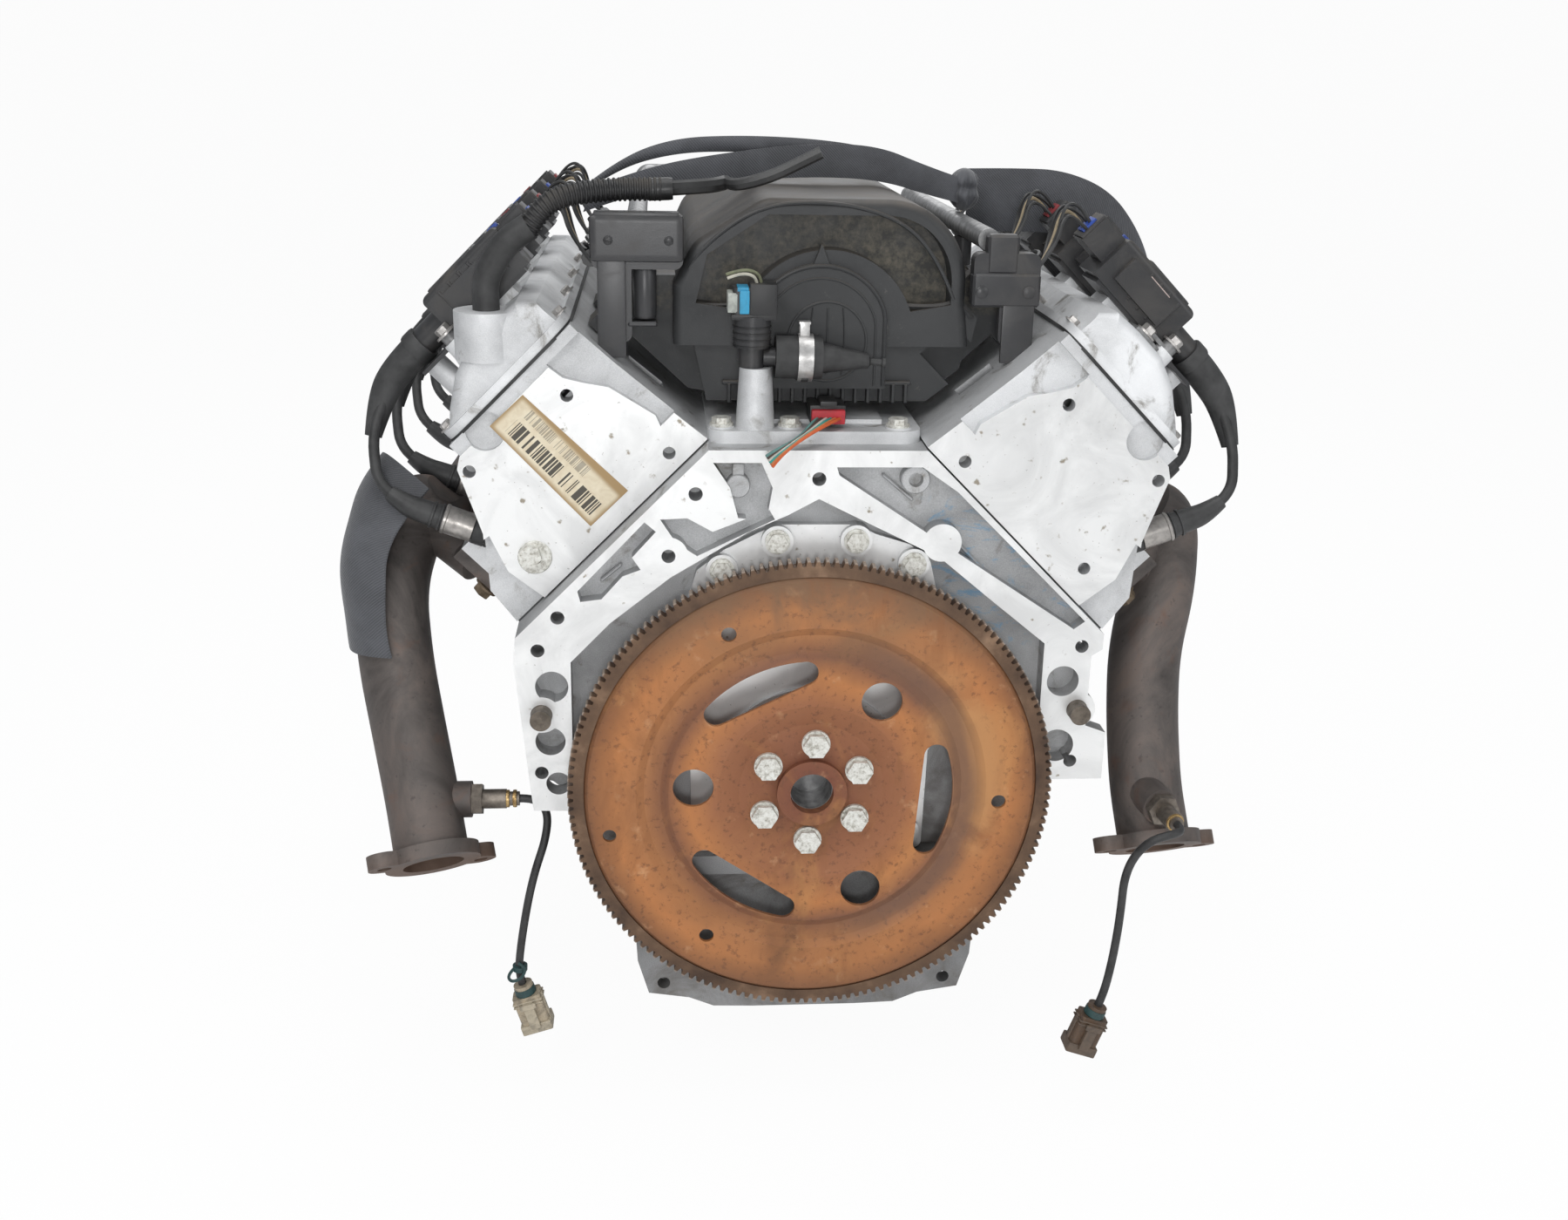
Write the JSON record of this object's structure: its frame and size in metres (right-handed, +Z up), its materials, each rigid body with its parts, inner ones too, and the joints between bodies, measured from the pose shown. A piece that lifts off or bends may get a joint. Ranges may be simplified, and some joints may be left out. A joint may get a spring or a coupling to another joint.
{
  "type": "V8 engine",
  "caption": "Complete overhead-valve V engine with flexplate and ring gear, plastic intake, coils, exhaust manifolds and accessory-free front.",
  "frame": {"origin": "where the crankshaft's axis meets the machined bellhousing face", "axes": "+Y along the crankshaft from the bellhousing face to the front, +Z up in the middle plane between the banks, +X to the right as seen from the rear"},
  "size_m": [0.6736, 0.6918, 0.6753],
  "materials": {
    "block_casting": "cast and machined",
    "cap_iron": "machined",
    "crank_steel": "ground journals",
    "balancer_iron": "dark",
    "rusted_plate": "surface rust",
    "ring_steel": "dark brown rust",
    "bolt_steel": "dull zinc",
    "cam_steel": "ground",
    "chain_steel": "oiled",
    "piston_alloy": "machined",
    "head_casting": "cast and machined",
    "gasket_steel": "coated",
    "cover_casting": "as cast",
    "valve_steel": "ground",
    "plug_boot": "matte",
    "wire_rubber": "matte",
    "coil_plastic": "satin",
    "seal_rubber": "matte",
    "intake_plastic": "satin, dusty",
    "bracket_plastic": "satin",
    "rail_steel": "drawn",
    "injector_plastic": "satin",
    "throttle_alloy": "cast",
    "exhaust_iron": "heat scale",
    "sensor_steel": "heat stained",
    "cord_rubber": "matte",
    "plug_plastic_left": "dusty",
    "plug_plastic_right": "dirty",
    "strap_webbing": "woven",
    "loom_plastic": "ribbed",
    "hose_rubber": "matte",
    "sensor_plastic": "satin",
    "dowel_steel": "browned"
  },
  "bodies": {
    "engine": {"bell_dowels": "dowel_steel", "cylinder_head_left": "head_casting", "cylinder_head_right": "head_casting", "engine_block": "block_casting", "engine_harness": "loom_plastic", "exhaust_manifold_left": "exhaust_iron", "exhaust_manifold_right": "exhaust_iron", "front_cover": "cover_casting", "fuel_injectors": "injector_plastic", "fuel_rails": "rail_steel", "head_gaskets": "gasket_steel", "housing_bolts": "bolt_steel", "ignition_coils": "coil_plastic", "intake_brackets": "bracket_plastic", "intake_lower": "intake_plastic", "intake_upper": "intake_plastic", "lifting_strap": "strap_webbing", "main_bearing_caps": "cap_iron", "oil_pan": "cover_casting", "oil_pressure_sensor": "sensor_plastic", "oil_pump": "cap_iron", "oxygen_sensors": "sensor_steel", "plug_wires": "wire_rubber", "pushrods": "valve_steel", "rear_cover": "cover_casting", "rear_seal": "seal_rubber", "rocker_arms": "valve_steel", "sensor_cord_left": "cord_rubber", "sensor_cord_right": "cord_rubber", "sensor_plug_left": "plug_plastic_left", "sensor_plug_right": "plug_plastic_right", "spark_plugs": "plug_boot", "throttle_body": "throttle_alloy", "timing_chain": "chain_steel", "valley_cover": "cover_casting", "valve_cover_left": "cover_casting", "valve_cover_right": "cover_casting", "valve_lifters": "valve_steel", "valves": "valve_steel", "vent_elbow": "hose_rubber", "vent_hose": "hose_rubber", "water_pump": "cover_casting"},
    "crank": {"crankshaft": "crank_steel", "crank_sprocket": "chain_steel", "harmonic_balancer": "balancer_iron", "flexplate": "rusted_plate", "ring_gear": "ring_steel", "flexplate_bolts": "bolt_steel"},
    "cam": {"camshaft": "cam_steel", "cam_sprocket": "chain_steel"},
    "pump_shaft": {"water_pump_rotor": "balancer_iron"},
    "throttle_valve": {"throttle_plate": "throttle_alloy"},
    "cylinder_1": {"piston_1": "piston_alloy"},
    "cylinder_2": {"piston_2": "piston_alloy"},
    "cylinder_3": {"piston_3": "piston_alloy"},
    "cylinder_4": {"piston_4": "piston_alloy"},
    "cylinder_5": {"piston_5": "piston_alloy"},
    "cylinder_6": {"piston_6": "piston_alloy"},
    "cylinder_7": {"piston_7": "piston_alloy"},
    "cylinder_8": {"piston_8": "piston_alloy"}
  },
  "joints": [
    {"name": "crank_spin", "type": "hinge", "parent": "engine", "child": "crank", "pos_m": [0, 0, 0], "axis": [0, 1, 0], "continuous": true},
    {"name": "cam_spin", "type": "hinge", "parent": "engine", "child": "cam", "pos_m": [0, 0, 0.1248], "axis": [0, 1, 0], "continuous": true},
    {"name": "pump_spin", "type": "hinge", "parent": "engine", "child": "pump_shaft", "pos_m": [0, 0, 0.162], "axis": [0, 1, 0], "continuous": true},
    {"name": "throttle_turn", "type": "hinge", "parent": "engine", "child": "throttle_valve", "pos_m": [0, 0.48, 0.352], "axis": [1, 0, 0], "range_deg": [0, 80]},
    {"name": "piston_1_stroke", "type": "slide", "parent": "engine", "child": "cylinder_1", "axis": [-0.7071, 0, 0.7071], "range_m": [-0.03901, 0.05299]},
    {"name": "piston_2_stroke", "type": "slide", "parent": "engine", "child": "cylinder_2", "axis": [0.7071, 0, 0.7071], "range_m": [0, 0.092]},
    {"name": "piston_3_stroke", "type": "slide", "parent": "engine", "child": "cylinder_3", "axis": [-0.7071, 0, 0.7071], "range_m": [-0.092, 0]},
    {"name": "piston_4_stroke", "type": "slide", "parent": "engine", "child": "cylinder_4", "axis": [0.7071, 0, 0.7071], "range_m": [-0.03901, 0.05299]},
    {"name": "piston_5_stroke", "type": "slide", "parent": "engine", "child": "cylinder_5", "axis": [-0.7071, 0, 0.7071], "range_m": [0, 0.092]},
    {"name": "piston_6_stroke", "type": "slide", "parent": "engine", "child": "cylinder_6", "axis": [0.7071, 0, 0.7071], "range_m": [-0.03901, 0.05299]},
    {"name": "piston_7_stroke", "type": "slide", "parent": "engine", "child": "cylinder_7", "axis": [-0.7071, 0, 0.7071], "range_m": [-0.03901, 0.05299]},
    {"name": "piston_8_stroke", "type": "slide", "parent": "engine", "child": "cylinder_8", "axis": [0.7071, 0, 0.7071], "range_m": [-0.092, 0]}
  ],
  "couplings": [
    {"joint": "cam_spin", "follows": "crank_spin", "ratio": 0.5},
    {"joint": "piston_6_stroke", "follows": "piston_7_stroke", "ratio": 1},
    {"joint": "piston_2_stroke", "follows": "piston_5_stroke", "ratio": 1},
    {"joint": "piston_8_stroke", "follows": "piston_3_stroke", "ratio": 1},
    {"joint": "piston_4_stroke", "follows": "piston_1_stroke", "ratio": 1}
  ]
}
